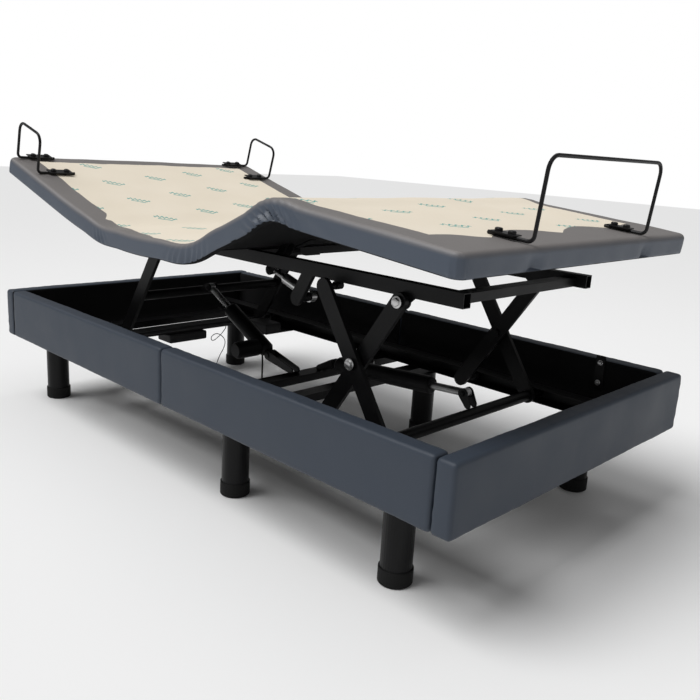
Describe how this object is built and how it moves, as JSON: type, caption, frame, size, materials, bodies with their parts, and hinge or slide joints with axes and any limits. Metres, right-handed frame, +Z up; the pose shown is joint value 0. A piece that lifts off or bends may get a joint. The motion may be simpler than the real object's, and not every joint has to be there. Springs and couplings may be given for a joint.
{
  "type": "adjustable bed base",
  "caption": "Adjustable bed base: an upholstered box on round legs, a scissor lift, a jointed deck with back, seat, thigh and foot sections, mattress retainers and actuators.",
  "frame": {"origin": "on the floor under the middle of the upholstered box", "axes": "+X to the foot end, +Y to the far long side, +Z up"},
  "size_m": [2.03, 1.07, 0.9798],
  "materials": {
    "upholstery": "satin faux leather, slate blue-grey",
    "black_steel": "semi-gloss black powder coat",
    "leg_steel": "semi-gloss black powder coat, black rubber cap",
    "zinc": "bright zinc plate",
    "retainer_wire": "satin black",
    "black_plastic": "matte",
    "cord_rubber": "matte",
    "plywood": "raw",
    "deck_fabric": "soft cream fabric"
  },
  "bodies": {
    "base": {"side_board_near_head": "upholstery", "side_board_near_foot": "upholstery", "side_board_far_head": "upholstery", "side_board_far_foot": "upholstery", "end_board_head": "upholstery", "end_board_foot": "upholstery", "base_rail_near": "black_steel", "base_rail_far": "black_steel", "base_tube_head": "black_steel", "base_tube_control": "black_steel", "base_tube_waist": "black_steel", "base_tube_middle": "black_steel", "base_tube_foot": "black_steel", "leg_near_head": "leg_steel", "leg_far_head": "leg_steel", "leg_near_middle": "leg_steel", "leg_far_middle": "leg_steel", "leg_near_foot": "leg_steel", "leg_far_foot": "leg_steel", "control_box": "black_plastic", "power_supply": "black_plastic", "mains_cord": "cord_rubber", "cord_coil": "cord_rubber", "mains_plug": "cord_rubber", "accessory_lead": "cord_rubber", "lead_connector": "cord_rubber"},
    "outer_arms": {"outer_arm_near": "black_steel", "outer_arm_far": "black_steel", "outer_arm_tube": "black_steel"},
    "inner_arms": {"inner_arm_near": "black_steel", "inner_arm_far": "black_steel"},
    "foot_rollers": {"base_roller_near": "black_plastic", "base_roller_far": "black_plastic"},
    "head_rollers": {"head_roller_axle": "black_plastic"},
    "lift_frame": {"lift_rail_near": "black_steel", "lift_rail_far": "black_steel", "back_actuator_carrier": "black_steel", "lift_tube_foot": "black_steel", "seat_board": "plywood", "seat_pad": "deck_fabric"},
    "head_arms": {"head_arm_near": "black_steel", "head_arm_far": "black_steel", "head_arm_tube": "black_steel"},
    "back_section": {"back_board": "plywood", "back_pad": "deck_fabric", "head_retainer_near": "retainer_wire", "head_retainer_far": "retainer_wire"},
    "thigh_section": {"thigh_board": "plywood", "thigh_pad": "deck_fabric"},
    "foot_section": {"foot_board": "plywood", "foot_pad": "deck_fabric", "foot_retainer": "retainer_wire"},
    "foot_lift_body": {"foot_lift_housing": "black_steel"},
    "foot_lift_shaft": {"foot_lift_rod": "zinc"},
    "head_lift_body": {"head_lift_housing": "black_steel"},
    "head_lift_shaft": {"head_lift_rod": "zinc"},
    "back_lift_body": {"back_lift_housing": "black_steel"},
    "back_lift_shaft": {"back_lift_rod": "zinc"},
    "leg_lift_body": {"leg_lift_housing": "zinc"},
    "leg_lift_shaft": {"leg_lift_rod": "zinc"}
  },
  "joints": [
    {"name": "lift", "type": "hinge", "parent": "base", "child": "outer_arms", "pos_m": [0.65, 0, 0.2725], "axis": [0, 1, 0], "range_deg": [-40, 3]},
    {"name": "cross", "type": "hinge", "parent": "outer_arms", "child": "inner_arms", "pos_m": [0.5345, 0, 0.4455], "axis": [0, 1, 0], "range_deg": [-7, 83]},
    {"name": "frame_level", "type": "hinge", "parent": "inner_arms", "child": "lift_frame", "pos_m": [0.65, 0, 0.6185], "axis": [0, 1, 0], "range_deg": [-42, 4]},
    {"name": "head_arm_swing", "type": "hinge", "parent": "lift_frame", "child": "head_arms", "pos_m": [-0.37, 0, 0.6185], "axis": [0, 1, 0], "range_deg": [-4, 42]},
    {"name": "foot_roller_spin", "type": "hinge", "parent": "inner_arms", "child": "foot_rollers", "pos_m": [0.419, 0, 0.2725], "axis": [0, 1, 0], "continuous": true},
    {"name": "head_roller_spin", "type": "hinge", "parent": "head_arms", "child": "head_rollers", "pos_m": [-0.601, 0, 0.2725], "axis": [0, 1, 0], "continuous": true},
    {"name": "back_fold", "type": "hinge", "parent": "lift_frame", "child": "back_section", "pos_m": [-0.352, 0, 0.6592], "axis": [0, 1, 0], "range_deg": [-16, 49]},
    {"name": "thigh_fold", "type": "hinge", "parent": "lift_frame", "child": "thigh_section", "pos_m": [0.1, 0, 0.6592], "axis": [0, -1, 0], "range_deg": [-25, 15]},
    {"name": "knee_fold", "type": "hinge", "parent": "thigh_section", "child": "foot_section", "pos_m": [0.42627, 0, 0.81134], "axis": [0, -1, 0], "range_deg": [-18.6, 30.8]},
    {"name": "foot_lift_swing", "type": "hinge", "parent": "base", "child": "foot_lift_body", "pos_m": [0.1, 0.05, 0.284], "axis": [0, 1, 0], "range_deg": [-0.6, 3.8]},
    {"name": "foot_lift_stroke", "type": "slide", "parent": "foot_lift_body", "child": "foot_lift_shaft", "axis": [0.9973, 0, 0.0741], "range_m": [-0.03, 0.003]},
    {"name": "head_lift_swing", "type": "hinge", "parent": "base", "child": "head_lift_body", "pos_m": [-0.1, -0.05, 0.284], "axis": [0, 1, 0], "range_deg": [-25.2, 2.2]},
    {"name": "head_lift_stroke", "type": "slide", "parent": "head_lift_body", "child": "head_lift_shaft", "axis": [-0.8905, 0, 0.4551], "range_m": [-0.0045, 0.0505]},
    {"name": "back_lift_swing", "type": "hinge", "parent": "lift_frame", "child": "back_lift_body", "pos_m": [-0.085, 0, 0.588], "axis": [0, 1, 0], "range_deg": [-1.6, 4.4]},
    {"name": "back_lift_stroke", "type": "slide", "parent": "back_lift_body", "child": "back_lift_shaft", "axis": [-0.9984, 0, 0.057], "range_m": [-0.0145, 0.043]},
    {"name": "leg_lift_swing", "type": "hinge", "parent": "lift_frame", "child": "leg_lift_body", "pos_m": [0.245, -0.205, 0.553], "axis": [0, -1, 0], "range_deg": [-1.5, 1]},
    {"name": "leg_lift_stroke", "type": "slide", "parent": "leg_lift_body", "child": "leg_lift_shaft", "axis": [-0.9554, 0, 0.2954], "range_m": [-0.0156, 0.0256]}
  ],
  "couplings": [
    {"joint": "cross", "follows": "lift", "ratio": -2},
    {"joint": "frame_level", "follows": "lift", "ratio": 1},
    {"joint": "head_arm_swing", "follows": "lift", "ratio": -1},
    {"joint": "knee_fold", "follows": "thigh_fold", "ratio": -1.216},
    {"joint": "foot_lift_swing", "follows": "lift", "ratio": -0.0842},
    {"joint": "foot_lift_stroke", "follows": "lift", "m_per_rad": 0.04075},
    {"joint": "head_lift_swing", "follows": "lift", "ratio": 0.6027},
    {"joint": "head_lift_stroke", "follows": "lift", "m_per_rad": -0.06971},
    {"joint": "back_lift_swing", "follows": "back_fold", "ratio": 0.0822},
    {"joint": "back_lift_stroke", "follows": "back_fold", "m_per_rad": 0.04973},
    {"joint": "leg_lift_swing", "follows": "thigh_fold", "ratio": 0.0491},
    {"joint": "leg_lift_stroke", "follows": "thigh_fold", "m_per_rad": -0.05742}
  ]
}
